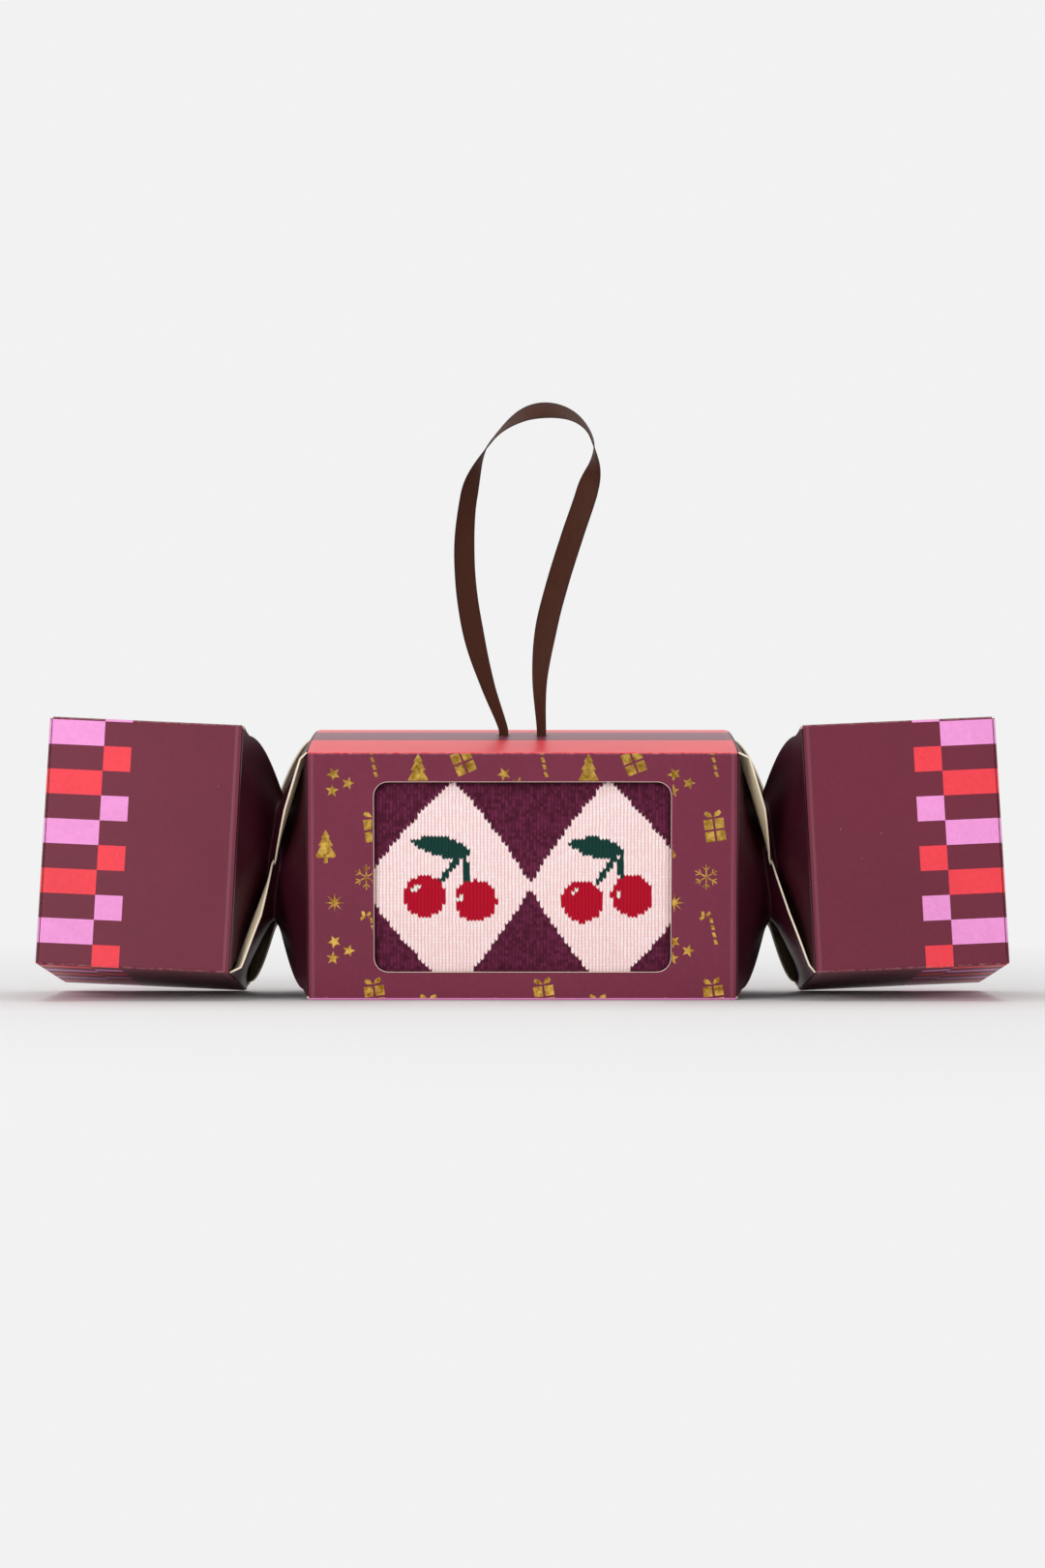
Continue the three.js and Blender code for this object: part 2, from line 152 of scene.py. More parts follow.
for name, place, power, size in (
    ("key_box", (-0.75, -1.05, 0.30), 7.0, 0.55),
    ("fill_box", (0.9, -1.0, 0.27), 2.8, 0.5),
    ("top_box", (0.0, 0.25, 1.1), 4.2, 1.0),
):
    lamp_data = bpy.data.lights.new(name, "AREA")
    lamp_data.energy = power
    lamp_data.size = size
    lamp = bpy.data.objects.new(name, lamp_data)
    lamp.location = place
    lamp.rotation_euler = (Vector((0, 0, 0.04)) - Vector(place)).to_track_quat("-Z", "Y").to_euler()
    scene.collection.objects.link(lamp)


# The middle box: four panels of 0.5 mm paperboard, creased and folded round, leaning on its front bottom
# edge. The outside is coated and printed plum, with red bands on the top panel and pink on the bottom. The
# inside and the cut edges are bare cream board.
half_side = 35.0  # mm from a box's axis to its outer faces
middle_reach = 60.0  # mm from the middle to the middle box's ends
arc_centre, arc_outside = 34.1, 0.8  # mm, where the folded corners' arcs start, and the radius of the print
top_crown = 1.4  # mm that the middle box's top panel bows up
window_half = (41.6, 26.8)
window_radius, window_drop = 4.0, 0.2
middle_centre = Vector((0, 0, 38.641)) * mm
middle_turn = (math.radians(6.5), 0, 0)
middle_frame = Matrix.Translation(middle_centre) @ Euler(middle_turn).to_matrix().to_4x4()
plum = linear("#6B2035")
# The middle box's plum is the same print, painted lighter as painted light, since its front leans down away
# from the lamps
middle_plum_painted_lighter = linear("#742840")
red = linear("#EC3F4B")
pink = linear("#EB94D3")


def coated_board(name, centre, turn, printed_colour, crown, lid_plane):
    """Offset-printed paperboard with a thin satin coating: an even print with fine mottle, lighter where a
    crease breaks the coat, and cream board on the cut edges and the inside."""
    made, tree = empty_material(name)
    place = add(tree, "TexCoord", {})
    local = add(tree, "Mapping", {"Vector": place.outputs["Object"], "Location": centre, "Rotation": turn,
                                  "Scale": (mm, mm, mm)}, vector_type="TEXTURE")
    axes = add(tree, "SeparateXYZ", {0: local})
    x, y, z = axes.outputs
    wide = calc(tree, "ABSOLUTE", x)
    deep = calc(tree, "ABSOLUTE", y)
    # The top panel of the middle box bows up by the crown, so the print's height follows it
    bow = calc(tree, "MULTIPLY", y, 1 / arc_centre)
    bow = calc(tree, "MULTIPLY", bow, bow)
    bow = calc(tree, "SUBTRACT", 1.0, bow)
    bow = calc(tree, "MULTIPLY", bow, crown)
    above = calc(tree, "GREATER_THAN", z, 30.0)
    bow = calc(tree, "MULTIPLY", bow, above)
    level = calc(tree, "SUBTRACT", z, bow)
    tall = calc(tree, "ABSOLUTE", level)
    past_deep = calc(tree, "SUBTRACT", deep, arc_centre)
    past_deep = calc(tree, "MAXIMUM", past_deep, 0.0)
    past_tall = calc(tree, "SUBTRACT", tall, arc_centre)
    past_tall = calc(tree, "MAXIMUM", past_tall, 0.0)
    reach = add(tree, "CombineXYZ", {0: past_deep, 1: past_tall})
    reach = add(tree, "VectorMath", {0: reach}, operation="LENGTH")
    outside = calc(tree, "GREATER_THAN", reach.outputs["Value"], arc_outside)
    on_lid = calc(tree, "GREATER_THAN", wide, lid_plane)
    # The lid's rim and the folded ends at the neck show print, not the cut core
    rim = calc(tree, "MAXIMUM", deep, tall)
    rim = calc(tree, "GREATER_THAN", rim, 34.3)
    past_wall = calc(tree, "GREATER_THAN", wide, min(lid_plane - 0.53, 59.9))
    rim = calc(tree, "MULTIPLY", rim, past_wall)
    fold = calc(tree, "LESS_THAN", wide, 0.3)
    fold = calc(tree, "MULTIPLY", fold, 1.0 if lid_plane < 60 else 0.0)
    printed = calc(tree, "MAXIMUM", outside, on_lid)
    printed = calc(tree, "MAXIMUM", printed, rim)
    printed = calc(tree, "MAXIMUM", printed, fold)
    if lid_plane > 60:
        # The die crushes the window's edge and leaves a bare line 0.1 mm wide round it
        aside = calc(tree, "SUBTRACT", wide, window_half[0] - window_radius)
        aside = calc(tree, "MAXIMUM", aside, 0.0)
        upright = calc(tree, "ADD", z, window_drop)
        upright = calc(tree, "ABSOLUTE", upright)
        upright = calc(tree, "SUBTRACT", upright, window_half[1] - window_radius)
        upright = calc(tree, "MAXIMUM", upright, 0.0)
        corner_way = add(tree, "CombineXYZ", {0: aside, 1: upright})
        corner_way = add(tree, "VectorMath", {0: corner_way}, operation="LENGTH")
        clear = calc(tree, "GREATER_THAN", corner_way.outputs["Value"], window_radius + 0.1)
        behind = calc(tree, "GREATER_THAN", y, -34.0)
        clear = calc(tree, "MAXIMUM", clear, behind)
        printed = calc(tree, "MULTIPLY", printed, clear)
    colour = printed_colour(tree, wide, y, level, deep, tall, on_lid)
    # Ink mottle in patches of about a millimetre, and a slower change of tone over the panel
    mottle = add(tree, "TexNoise", {"Vector": local, "Scale": 0.9, "Detail": 4.0, "Roughness": 0.65})
    clouds = add(tree, "TexNoise", {"Vector": local, "Scale": 0.035, "Detail": 2.0})
    shade = add(tree, "MapRange", {"Value": mottle, "From Min": 0.3, "From Max": 0.7, "To Min": 0.93,
                                   "To Max": 1.06})
    slow = add(tree, "MapRange", {"Value": clouds, "From Min": 0.3, "From Max": 0.7, "To Min": 0.95,
                                  "To Max": 1.05})
    shade = calc(tree, "MULTIPLY", shade, slow)
    colour = add(tree, "VectorMath", {0: colour, "Scale": shade}, operation="SCALE")
    # Creases: the coat cracks along the folded corners and shows paler in broken lengths
    corner = calc(tree, "MINIMUM", deep, tall)
    worn = add(tree, "MapRange", {"Value": corner, "From Min": 34.25, "From Max": 34.75})
    broken = add(tree, "TexNoise", {"Vector": local, "Scale": 0.55, "Detail": 5.0, "Roughness": 0.7})
    broken = add(tree, "MapRange", {"Value": broken, "From Min": 0.42, "From Max": 0.66, "To Max": 0.42})
    worn = calc(tree, "MULTIPLY", worn, broken)
    colour = mix(tree, worn, colour, linear("#DCA9A6"))
    # The crease bead: a raised line that the creasing rule leaves 1.2 mm from each end of the panels
    bead = calc(tree, "SUBTRACT", wide, 58.8 if lid_plane > 60 else 1.2)
    bead = calc(tree, "ABSOLUTE", bead)
    bead = add(tree, "MapRange", {"Value": bead, "From Min": 0.15, "From Max": 0.6, "To Min": 1.0,
                                  "To Max": 0.0})
    # Painted highlight: the bead's line is mixed towards pale pink, as light catching the raised line would
    # look
    lift = calc(tree, "MULTIPLY", bead, 0.08)
    colour = mix(tree, lift, colour, linear("#D9A7AE"))
    # Lint and dust: small pale specks, drawn a little coarser than real so that they show
    specks = add(tree, "TexVoronoi", {"Vector": local, "Scale": 0.16, "Randomness": 1.0})
    specks = calc(tree, "LESS_THAN", specks.outputs["Distance"], 0.022)
    specks = calc(tree, "MULTIPLY", specks, 0.5)
    colour = mix(tree, specks, colour, linear("#C99BA0"))
    pulp = add(tree, "TexNoise", {"Vector": local, "Scale": 3.5, "Detail": 3.0})
    bare = mix(tree, pulp, linear("#DFCFB6"), linear("#F3E8D6"))
    colour = mix(tree, printed, bare, colour)
    rough = add(tree, "MapRange", {"Value": printed, "To Min": 0.85, "To Max": 0.36})
    grain = add(tree, "TexNoise", {"Vector": local, "Scale": 1.6, "Detail": 3.0})
    height = calc(tree, "MULTIPLY_ADD", bead, 2.0, grain)
    relief = add(tree, "Bump", {"Height": height, "Strength": 0.35, "Distance": 0.00006})
    shader = add(tree, "BsdfPrincipled", {"Base Color": colour, "Roughness": rough, "IOR": 1.5,
                                          "Normal": relief, "Specular IOR Level": 0.3})
    add(tree, "OutputMaterial", {"Surface": shader})
    return made


def middle_print(tree, wide, y, level, deep, tall, on_lid):
    """Plum all round, red bands along both long sides of the top panel, pink on the bottom panel."""
    inner = calc(tree, "MINIMUM", deep, 34.4)
    inner = calc(tree, "MULTIPLY", inner, -1.0)
    under = calc(tree, "LESS_THAN", level, inner)
    edge = calc(tree, "MINIMUM", deep, 34.7)
    top = calc(tree, "GREATER_THAN", level, edge)
    aside = calc(tree, "GREATER_THAN", deep, 12.0)
    bands = calc(tree, "MULTIPLY", top, aside)
    colour = mix(tree, under, middle_plum_painted_lighter, pink)
    return mix(tree, bands, colour, red)


middle_board = coated_board("printed_paperboard_middle", middle_centre, middle_turn, middle_print, top_crown,
                            999.0)
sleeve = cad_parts["centre_sleeve"]
for index in range(len(sleeve.material_slots)):
    sleeve.material_slots[index].material = middle_board


# Foil figures on the front and back panels: hot-stamped gold foil, a few hundredths of a millimetre thick,
# pressed on after printing. They are common seasonal figures in a repeat of 47.6 by 47.25 mm.
foil, tree = empty_material("hot_stamped_gold_foil")
place = add(tree, "TexCoord", {})
crinkle = add(tree, "TexNoise", {"Vector": place.outputs["Object"], "Scale": 1500.0, "Detail": 3.0,
                                 "Roughness": 0.6})
# Painted reflection: patches a few millimetres across, from dark to bright gold, stand in for what the foil
# mirrors
painted_reflection_patches = add(tree, "TexNoise", {"Vector": place.outputs["Object"], "Scale": 420.0, "Detail": 3.0,
                              "Roughness": 0.7})
painted_reflection_patches = add(tree, "MapRange", {"Value": painted_reflection_patches, "From Min": 0.36, "From Max": 0.64})
tone = mix(tree, painted_reflection_patches, linear("#9A6C1C"), linear("#FBCE66"))
satin = add(tree, "MapRange", {"Value": crinkle, "To Min": 0.22, "To Max": 0.48})
relief = add(tree, "Bump", {"Height": crinkle, "Strength": 0.6, "Distance": 0.0001})
shader = add(tree, "BsdfPrincipled", {"Base Color": tone, "Metallic": 1.0, "Roughness": satin,
                                      "Normal": relief})
add(tree, "OutputMaterial", {"Surface": shader})

figure_unit = 0.27  # mm for each unit of the outlines below, which run right and down
repeat_across, repeat_down = 176.3, 175.0
repeat_start = (-189.0, -99.25)  # from the middle of the panel


def star(x, y, outer, inner, points, lean):
    """Outline of a star with its first point turned by lean degrees."""
    first = math.radians(lean)
    turns = [(first + math.pi * i / points, inner if i % 2 else outer) for i in range(2 * points)]
    return [(x + r * math.sin(a), y - r * math.cos(a)) for a, r in turns]


def turned(outline, x, y, lean):
    """An outline turned by lean degrees about its own origin and moved to x, y."""
    c, s = math.cos(math.radians(lean)), math.sin(math.radians(lean))
    return [(x + c * u - s * v, y + s * u + c * v) for u, v in outline]


def slab(width, height, skew=0.0):
    """A rectangle about the origin, its top pushed sideways by skew."""
    w, h = width / 2, height / 2
    return [(-w - skew, -h), (w - skew, -h), (w + skew, h), (-w + skew, h)]


tree_half = [(0, -17.5), (4.6, -9.6), (2.9, -9.0), (7.6, -0.8), (5.0, -0.2), (10.6, 9.6), (8.6, 12.2),
             (2.0, 11.6), (2.0, 17.5)]
pine = tree_half + [(-u, v) for u, v in reversed(tree_half[1:])]
bow_half = [(0.3, -8.6), (3.0, -13.6), (7.2, -15.3), (9.0, -12.6), (6.6, -9.6)]
gift = [[(u - 5.8, v - 1.4) for u, v in slab(9.3, 10.6)], [(u + 5.8, v - 1.4) for u, v in slab(9.3, 10.6)],
        [(u - 5.8, v + 11.5) for u, v in slab(9.3, 10.6)], [(u + 5.8, v + 11.5) for u, v in slab(9.3, 10.6)],
        bow_half, [(-u, v) for u, v in reversed(bow_half)]]
flake = []
for arm in range(6):
    flake.append(turned([(-0.6, -1), (0.6, -1), (0.6, -13), (-0.6, -13)], 0, 0, 60 * arm))
    for fork in (-1, 1):
        branch = turned([(-0.55, 0), (0.55, 0), (0.55, -5), (-0.55, -5)], 0, 0, 45 * fork)
        flake.append(turned([(u, v - 7.0) for u, v in branch], 0, 0, 60 * arm))
cane = [turned(slab(3.4, 5.0, 0.9), x, y, lean) for x, y, lean in (
    (-7.1, -13.4, 10), (-8.2, -9.2, 70), (-1.6, -13.0, 60), (1.4, -6.7, 8), (3.0, 1.0, 0), (4.6, 8.6, 0),
    (6.2, 16.2, 0))]
figures = [star(-6.5, -8.2, 7.4, 3.2, 5, -25), star(8.5, 1.3, 7.0, 3.0, 5, 15),
           star(-8.1, 9.0, 7.2, 3.1, 5, 5)]
figures += [turned(blob, 31, 151, 0) for blob in cane]
figures += [turned(pine, 81, -12, 0), turned(pine, -15, 67, 0)]
for x, y, lean in ((126, -25, -22), (35, 45, -8), (91, 62, 0)):
    figures += [turned(piece, x, y, lean) for piece in gift]
figures += [turned(piece, 27, 99, 0) for piece in flake]
figures.append(star(-6, 126, 10.5, 2.9, 8, 0))


def cut(outline, axis, limit, keep_above):
    """The part of an outline on one side of a line, as scissors would leave it."""
    kept = []
    for i, here in enumerate(outline):
        before = outline[i - 1]
        inside = [(p[axis] > limit) == keep_above for p in (before, here)]
        if inside[0] != inside[1]:
            share = (limit - before[axis]) / (here[axis] - before[axis])
            kept.append(tuple(before[k] + share * (here[k] - before[k]) for k in range(2)))
        if inside[1]:
            kept.append(here)
    return kept


foil_panel = (-59.6, 59.6, -34.4, 34.6)  # millimetres, left, right, bottom, top
window_edge = (-42.0, 42.0, -27.4, 27.0)


def foil_outlines(window):
    """Every figure of the repeat that lies on the panel, in millimetres, trimmed at its edges and window."""
    result = []
    for across in range(-1, 4):
        for down in range(-1, 3):
            left, top = repeat_start[0] + across * repeat_across, repeat_start[1] + down * repeat_down
            for outline in figures:
                drawn = [((left + u) * figure_unit, -(top + v) * figure_unit - window_drop)
                         for u, v in outline]
                for axis, limit, above in ((0, foil_panel[0], True), (0, foil_panel[1], False),
                                           (1, foil_panel[2], True), (1, foil_panel[3], False)):
                    drawn = cut(drawn, axis, limit, above) if drawn else drawn
                if len(drawn) < 3:
                    continue
                if not window:
                    result.append(drawn)
                    continue
                near, far, low, high = window_edge
                result.append(cut(drawn, 0, near, False))
                result.append(cut(drawn, 0, far, True))
                between = cut(cut(drawn, 0, near, True) or [], 0, far, False) if drawn else []
                if between:
                    result.append(cut(between, 1, low, False))
                    result.append(cut(between, 1, high, True))
    return [outline for outline in result if len(outline) >= 3]


for name, facing, window in (("front_foil_figures", -1, True), ("back_foil_figures", 1, False)):
    shape = bmesh.new()
    for outline in foil_outlines(window):
        # Each figure is a low plate with a slightly smaller face, so its rim catches the light
        middle = Vector((sum(p[0] for p in outline), sum(p[1] for p in outline))) / len(outline)
        rings = []
        for proud, shrink in ((0.0, 0.0), (0.035, 0.05)):
            ring = []
            for u, v in outline:
                inward = middle - Vector((u, v))
                if inward.length > 0.2:
                    u, v = Vector((u, v)) + inward.normalized() * shrink
                ring.append(shape.verts.new(Vector((-facing * u, facing * (half_side + proud), v)) * mm))
            rings.append(ring)
        face = shape.faces.new(rings[1])
        for i in range(len(outline)):
            shape.faces.new((rings[0][i - 1], rings[0][i], rings[1][i], rings[1][i - 1]))
    bmesh.ops.dissolve_degenerate(shape, dist=1e-7, edges=shape.edges)
    bmesh.ops.recalc_face_normals(shape, faces=shape.faces)
    bmesh.ops.triangulate(shape, faces=shape.faces)
    bmesh.ops.transform(shape, matrix=middle_frame, verts=shape.verts)
    mesh = bpy.data.meshes.new(name)
    shape.to_mesh(mesh)
    shape.free()
    mesh.materials.append(foil)
    figures_piece = bpy.data.objects.new(name, mesh)
    scene.collection.objects.link(figures_piece)
    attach(figures_piece, "centre")


# The end boxes: the same printed board, folded into a cube on each side and closed with a tuck lid, its
# tongue and two dust flaps. Long and short stripes of pink and red run in from the lid all round.
end_lift = math.radians(2.6)
end_from_middle, end_height, end_lid_plane = 80.6, 38.601, 53.93  # mm
stripe_width, stripe_start = 7.0, 0.8
long_stripe, short_stripe = 15.3, 23.0  # mm from the lid


def stripe_print(tree, wide, y, level, deep, tall, on_lid):
    """Plum, with 7 mm stripes: long pink, short red, long red, short pink, in turn round the box."""
    ways = []
    for along, across, start, sign in ((y, level, 105.0, 1.0), (level, y, 175.0, -1.0)):
        facing = calc(tree, "SIGN", along)
        turn = calc(tree, "MULTIPLY_ADD", across, sign, 70.0)
        ways.append(calc(tree, "MULTIPLY_ADD", facing, turn, start))
    upright = calc(tree, "GREATER_THAN", deep, tall)
    round_box = add(tree, "Mix", {0: upright, 2: ways[1], 3: ways[0]})
    stripe = calc(tree, "SUBTRACT", round_box, stripe_start)
    stripe = calc(tree, "MULTIPLY", stripe, 1 / stripe_width)
    stripe = calc(tree, "FLOOR", stripe)
    stripe = calc(tree, "FLOORED_MODULO", stripe, 4.0)
    short = calc(tree, "FLOORED_MODULO", stripe, 2.0)
    ends = calc(tree, "SUBTRACT", stripe, 1.5)
    ends = calc(tree, "ABSOLUTE", ends)
    is_pink = calc(tree, "GREATER_THAN", ends, 1.0)
    from_lid = calc(tree, "SUBTRACT", 53.7, wide)
    long_reach = calc(tree, "LESS_THAN", from_lid, long_stripe)
    short_reach = calc(tree, "LESS_THAN", from_lid, short_stripe)
    within = calc(tree, "SUBTRACT", short_reach, long_reach)
    marked = add(tree, "Mix", {0: short, 2: long_reach, 3: within})
    off_lid = calc(tree, "SUBTRACT", 1.0, on_lid)
    marked = calc(tree, "MULTIPLY", marked, off_lid)
    ink = mix(tree, is_pink, red, pink)
    return mix(tree, marked, plum, ink)


end_frames = {}
for side, facing in (("left", -1), ("right", 1)):
    end_centre = Vector((facing * end_from_middle, 0, end_height)) * mm
    end_turn = (math.radians(-6.5), -facing * end_lift, 0)
    end_frames[side] = Matrix.Translation(end_centre) @ Euler(end_turn).to_matrix().to_4x4()
    end_board = coated_board("printed_paperboard_" + side, end_centre, end_turn, stripe_print, 0.0,
                             end_lid_plane)
    for part in ("end_sleeve", "lid", "tuck_tongue", "dust_flap_top", "dust_flap_bottom"):
        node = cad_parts[side + "_" + part]
        for index in range(len(node.material_slots)):
            node.material_slots[index].material = end_board


# The necks: four strips of the same board on each side, slit apart, pinched and led a quarter turn round to
# the next panel. The print is on the outside, the inside is bare, and the slit edges show the cream core.
def neck_board(name, colours, roughness):
    """One face of the strip's board: print, bare pulp or the cut core."""
    made, tree = empty_material(name)
    place = add(tree, "TexCoord", {})
    pulp = add(tree, "TexNoise", {"Vector": place.outputs["Object"], "Scale": 1400.0, "Detail": 4.0})
    clouds = add(tree, "TexNoise", {"Vector": place.outputs["Object"], "Scale": 60.0, "Detail": 2.0})
    share = calc(tree, "MULTIPLY_ADD", pulp, 0.6, clouds)
    share = add(tree, "MapRange", {"Value": share, "From Min": 0.55, "From Max": 1.05})
    colour = mix(tree, share, linear(colours[0]), linear(colours[1]))
    relief = add(tree, "Bump", {"Height": pulp, "Strength": 0.3, "Distance": 0.00008})
    shader = add(tree, "BsdfPrincipled", {"Base Color": colour, "Roughness": roughness, "IOR": 1.5,
                                          "Normal": relief, "Specular IOR Level": 0.25})
    add(tree, "OutputMaterial", {"Surface": shader})
    return made


# The print on the strips is painted darker than the panels' plum, as painted shade deep in the neck. The bare
# side is a little browner than the cut, as uncoated pulp is, and is painted lighter and warmer than the
# boxes' bare board, as painted bounce light.
strip_faces = [neck_board("strip_print_painted_shade", ("#330B17", "#3F111E"), 0.42),
               neck_board("bare_inside_painted_bounce_light", ("#E8D2AC", "#F6E6C6"), 0.85),
               neck_board("cut_paperboard_edge", ("#EAD9BD", "#F5E9D4"), 0.8)]
sheet_half = 34.75
strip_reach, strip_inward, strip_edge_inward, strip_skew = 27.9, 51.9, 162.8, -57.5
strip_splay, strip_turn, strip_turn_spread, strip_set_back = -0.285, 2.8, 2.1, 0.28
strip_trim, strip_waist_trim, strip_corner_trim, strip_roll = 0.042, 0.06, 0.012, 26.0
# Millimetres that the edge beside the front slit stands proud, near the middle box and near the end box
strip_lip = {"left": (1.3, 2.4), "right": (2.6, 0.8)}
corners = [(-1, -1), (-1, 1), (1, 1), (1, -1)]
outward = [(-1, 0), (0, 1), (1, 0), (0, -1)]
panel_names = ["front", "top", "back", "bottom"]


def crease_point(frame_matrix, x, panel, share, crowned):
    """A point on a panel's crease, share of the way from its first corner to its second."""
    first, last = corners[panel % 4], corners[(panel + 1) % 4]
    y = (first[0] + (last[0] - first[0]) * share) * sheet_half
    z = (first[1] + (last[1] - first[1]) * share) * sheet_half
    if crowned and panel % 4 == 1:
        z += 4 * top_crown * share * (1 - share)
    return frame_matrix @ (Vector((x, y, z)) * mm)


def crease_pull(frame_matrix, facing, panel, reach, splay):
    """The way the strip's curve leaves a crease: along the neck and out from the panel by reach."""
    here, beyond = outward[panel % 4], outward[(panel + 1) % 4]
    y = (here[0] * math.cos(splay) + beyond[0] * math.sin(splay)) * reach
    z = (here[1] * math.cos(splay) + beyond[1] * math.sin(splay)) * reach
    return frame_matrix.to_3x3() @ (Vector((-facing * strip_reach, y, z)) * mm)


def sheet_mesh(name, rows, lanes, place, lift, thickness, out, materials):
    """A sheet of even thickness over a grid of points, with a material outside, inside and on its edges."""
    points = [[place(i / rows, j / lanes) for j in range(lanes + 1)] for i in range(rows + 1)]

    def normals():
        found = []
        for i in range(rows + 1):
            for j in range(lanes + 1):
                along = points[min(i + 1, rows)][j] - points[max(i - 1, 0)][j]
                across = points[i][min(j + 1, lanes)] - points[i][max(j - 1, 0)]
                found.append(along.cross(across).normalized() * out)
        return found

    # The lift turns a strip's edge out from its own surface
    ups = iter(normals())
    points = [[points[i][j] + next(ups) * lift(i / rows, j / lanes) for j in range(lanes + 1)]
              for i in range(rows + 1)]
    flat = [point for row in points for point in row]
    halves = [normal * thickness / 2 for normal in normals()]
    sides = ([p + n for p, n in zip(flat, halves)], [p - n for p, n in zip(flat, halves)])
    count = (rows + 1) * (lanes + 1)
    faces, kinds = [], []
    for i in range(rows):
        for j in range(lanes):
            a, b, c, d = (i * (lanes + 1) + j, i * (lanes + 1) + j + 1, (i + 1) * (lanes + 1) + j + 1,
                          (i + 1) * (lanes + 1) + j)
            faces += [(a, b, c, d) if out < 0 else (d, c, b, a)]
            faces += [tuple(k + count for k in reversed(faces[-1]))]
            kinds += [0, 1]
    last_row = rows * (lanes + 1)
    border = [j for j in range(lanes)] + [i * (lanes + 1) + lanes for i in range(rows)]
    border += [last_row + j for j in range(lanes, 0, -1)] + [i * (lanes + 1) for i in range(rows, 0, -1)]
    for k, here in enumerate(border):
        after = border[(k + 1) % len(border)]
        faces.append((here, here + count, after + count, after))
        folded = max(here, after) <= lanes or min(here, after) >= last_row
        kinds.append(0 if folded else 2)
    mesh = bpy.data.meshes.new(name)
    mesh.from_pydata([*sides[0], *sides[1]], [], faces)
    for material in materials:
        mesh.materials.append(material)
    mesh.polygons.foreach_set("material_index", kinds)
    mesh.polygons.foreach_set("use_smooth", [True] * len(kinds))
    shape = bmesh.new()
    shape.from_mesh(mesh)
    bmesh.ops.recalc_face_normals(shape, faces=shape.faces)
    shape.to_mesh(mesh)
    shape.free()
    mesh.set_sharp_from_angle(angle=math.radians(50))
    return mesh


for side, facing in (("left", -1), ("right", 1)):
    end_frame = end_frames[side]
    for panel in range(4):

        def place(p, q):
            waist = 4 * p * (1 - p)
            trim = strip_trim + (strip_waist_trim - strip_trim) * waist ** 2.85
            # At the creases the slits start close to the corners
            trim = strip_corner_trim + (trim - strip_corner_trim) * min(1.0, min(p, 1 - p) / 0.05)
            share = trim + (1 - 2 * trim) * q
            lane = 2 * share - 1
            reach = strip_inward + (strip_edge_inward - strip_inward) * lane ** 2
            skew = strip_skew * lane
            # Beside the slit that faces out, each strip rolls over and shows a band of its bare inside
            start_roll = strip_roll * math.exp(-((0.84 - share) / 0.08) ** 2)
            finish_roll = strip_roll * math.exp(-((share - 0.16) / 0.08) ** 2)
            start = crease_point(end_frame, -facing * strip_set_back, panel, share, False)
            middle_end = facing * (middle_reach + strip_set_back)
            finish = crease_point(middle_frame, middle_end, panel + 1, share, True)
            point = start * (2 * p ** 3 - 3 * p ** 2 + 1) + finish * (3 * p ** 2 - 2 * p ** 3)
            leave = crease_pull(end_frame, facing, panel, -reach - skew - start_roll, strip_splay)
            arrive = crease_pull(middle_frame, facing, panel + 1, reach - skew + finish_roll, -strip_splay)
            point += leave * (p * (1 - p) ** 2)
            point += arrive * (p ** 2 * (p - 1))
            point.x += -facing * strip_turn * (share - 0.5) * waist ** strip_turn_spread * mm
            return point

        def lift(p, q):
            rise = [min(1.0, 40 * near, max(0.0, (0.4 - near) / 0.2)) for near in (1 - p, p)]
            lip = [max(0.0, 1 - near / 0.12) for near in (q, 1 - q)]
            proud = strip_lip[side]
            if panel == 0:
                return proud[0] * mm * rise[0] * lip[0]
            return proud[1] * mm * rise[1] * lip[1] if panel == 3 else 0.0

        low, high = place(0.0, 0.5), place(0.02, 0.5)
        normal = (high - low).cross(place(0.0, 0.6) - low)
        y, z = outward[panel]
        out = 1 if normal.dot(end_frame.to_3x3() @ Vector((0, y, z))) > 0 else -1
        name = side + "_neck_" + panel_names[panel]
        mesh = sheet_mesh(name, 40, 28, place, lift, 0.5 * mm, out, strip_faces)
        strip = bpy.data.objects.new(name, mesh)
        scene.collection.objects.link(strip)
        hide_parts(side + "_neck_strip_" + panel_names[panel])
        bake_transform(strip)


# The socks: a fine-gauge knitted pair, each folded to a soft square pack that fills its half of the box. The
# pattern is knitted in, so its edges step from stitch to stitch.
wale, course = 0.98, 0.92  # width and height of a stitch, in millimetres
knit, tree = empty_material("jersey_knit_in_five_yarns")
place = add(tree, "TexCoord", {})
local = add(tree, "Mapping", {"Vector": place.outputs["Object"], "Location": middle_centre,
                              "Rotation": middle_turn, "Scale": (mm, mm, mm)}, vector_type="TEXTURE")
wander = add(tree, "TexNoise", {"Vector": local, "Scale": 0.25, "Detail": 2.0})
wander = add(tree, "VectorMath", {0: wander.outputs["Color"], 1: (0.5, 0.5, 0.5)}, operation="SUBTRACT")
wander = add(tree, "VectorMath", {0: wander, "Scale": 0.45}, operation="SCALE")
laid = add(tree, "VectorMath", {0: local, 1: wander}, operation="ADD")
axes = add(tree, "SeparateXYZ", {0: laid})
column = calc(tree, "MULTIPLY", axes.outputs[0], 1 / wale)
rise = calc(tree, "MULTIPLY", axes.outputs[2], 1 / course)
leg = calc(tree, "FRACT", column)
leg = calc(tree, "SUBTRACT", leg, 0.5)
leg = calc(tree, "ABSOLUTE", leg)
rise = calc(tree, "MULTIPLY_ADD", leg, -1.3, rise)
stitch_x = calc(tree, "FLOOR", column)
stitch_x = calc(tree, "MULTIPLY_ADD", stitch_x, wale, wale / 2)
stitch_z = calc(tree, "FLOOR", rise)
stitch_z = calc(tree, "MULTIPLY_ADD", stitch_z, course, course / 2)
stitch = add(tree, "CombineXYZ", {0: stitch_x, 2: stitch_z})
